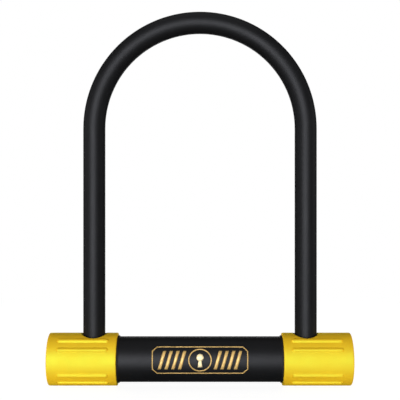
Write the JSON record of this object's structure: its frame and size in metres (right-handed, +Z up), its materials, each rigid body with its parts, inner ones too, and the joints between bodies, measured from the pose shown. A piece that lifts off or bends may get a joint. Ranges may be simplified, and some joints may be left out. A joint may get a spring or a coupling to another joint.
{
  "type": "bicycle u lock",
  "caption": "Bicycle U lock: a black coated steel shackle in a crossbar with yellow ribbed end sleeves, keyed at its right end, with a turning dust cover over the keyhole.",
  "frame": {"origin": "on the ground under the middle of the crossbar, where the two bumpers stand", "axes": "+X along the crossbar towards the keyed end, +Z up the shackle's legs, +Y through the U; the picture looks along +Y"},
  "size_m": [0.1826, 0.0318, 0.2268],
  "materials": {
    "vinyl_coat": "satin dip-moulded vinyl, black",
    "vinyl_sleeve": "satin extruded vinyl, black",
    "yellow_plastic": "satin injection-moulded plastic, yellow",
    "collar_rubber": "matt black rubber",
    "black_plastic": "fine-textured moulded plastic, black",
    "shutter_plastic": "smooth moulded plastic, dark grey",
    "hardened_steel": "hardened, dark satin",
    "machined_steel": "turned, zinc plated",
    "pin_steel": "ground, bright",
    "spacer_steel": "stamped, bright",
    "cylinder_brass": "turned, satin",
    "disc_brass": "stamped, satin",
    "nylon": "natural nylon, smooth"
  },
  "bodies": {
    "crossbar": {"crossbar_tube": "hardened_steel", "crossbar_sleeve": "vinyl_sleeve", "left_bumper": "yellow_plastic", "right_bumper": "yellow_plastic", "left_collar": "collar_rubber", "right_collar": "collar_rubber", "left_bush": "nylon", "right_bush": "nylon", "end_plug": "machined_steel", "plug_pin": "pin_steel", "cylinder_housing": "cylinder_brass", "housing_pins": "pin_steel", "stop_pin": "pin_steel", "blank_cap": "black_plastic", "keyhole_bezel": "black_plastic", "bezel_ring": "black_plastic", "bezel_screws": "pin_steel"},
    "shackle": {"shackle_bar": "hardened_steel", "shackle_coating": "vinyl_coat"},
    "core": {"cylinder_core": "cylinder_brass", "disc_1": "disc_brass", "disc_2": "disc_brass", "disc_3": "disc_brass", "disc_4": "disc_brass", "disc_5": "disc_brass", "disc_6": "disc_brass", "disc_spacers": "spacer_steel", "sidebar": "machined_steel", "anti_drill_plate": "hardened_steel", "core_circlip": "pin_steel"},
    "locking_tube": {"locking_tube": "machined_steel", "drive_coupling": "machined_steel", "coupling_pins": "pin_steel"},
    "shutter": {"dust_shutter": "shutter_plastic"}
  },
  "joints": [
    {"name": "shackle_lift", "type": "slide", "parent": "crossbar", "child": "shackle", "axis": [0, 0, 1], "range_m": [0, 0.06]},
    {"name": "key_turn", "type": "hinge", "parent": "crossbar", "child": "core", "pos_m": [0.082, 0, 0.01585], "axis": [1, 0, 0], "range_deg": [0, 90]},
    {"name": "locking_tube_turn", "type": "hinge", "parent": "crossbar", "child": "locking_tube", "pos_m": [0, 0, 0.01585], "axis": [1, 0, 0], "range_deg": [0, 90]},
    {"name": "shutter_turn", "type": "hinge", "parent": "crossbar", "child": "shutter", "pos_m": [0.0898, 0, 0.01985], "axis": [1, 0, 0], "range_deg": [0, 180]}
  ],
  "couplings": [
    {"joint": "locking_tube_turn", "follows": "key_turn", "ratio": 1}
  ]
}
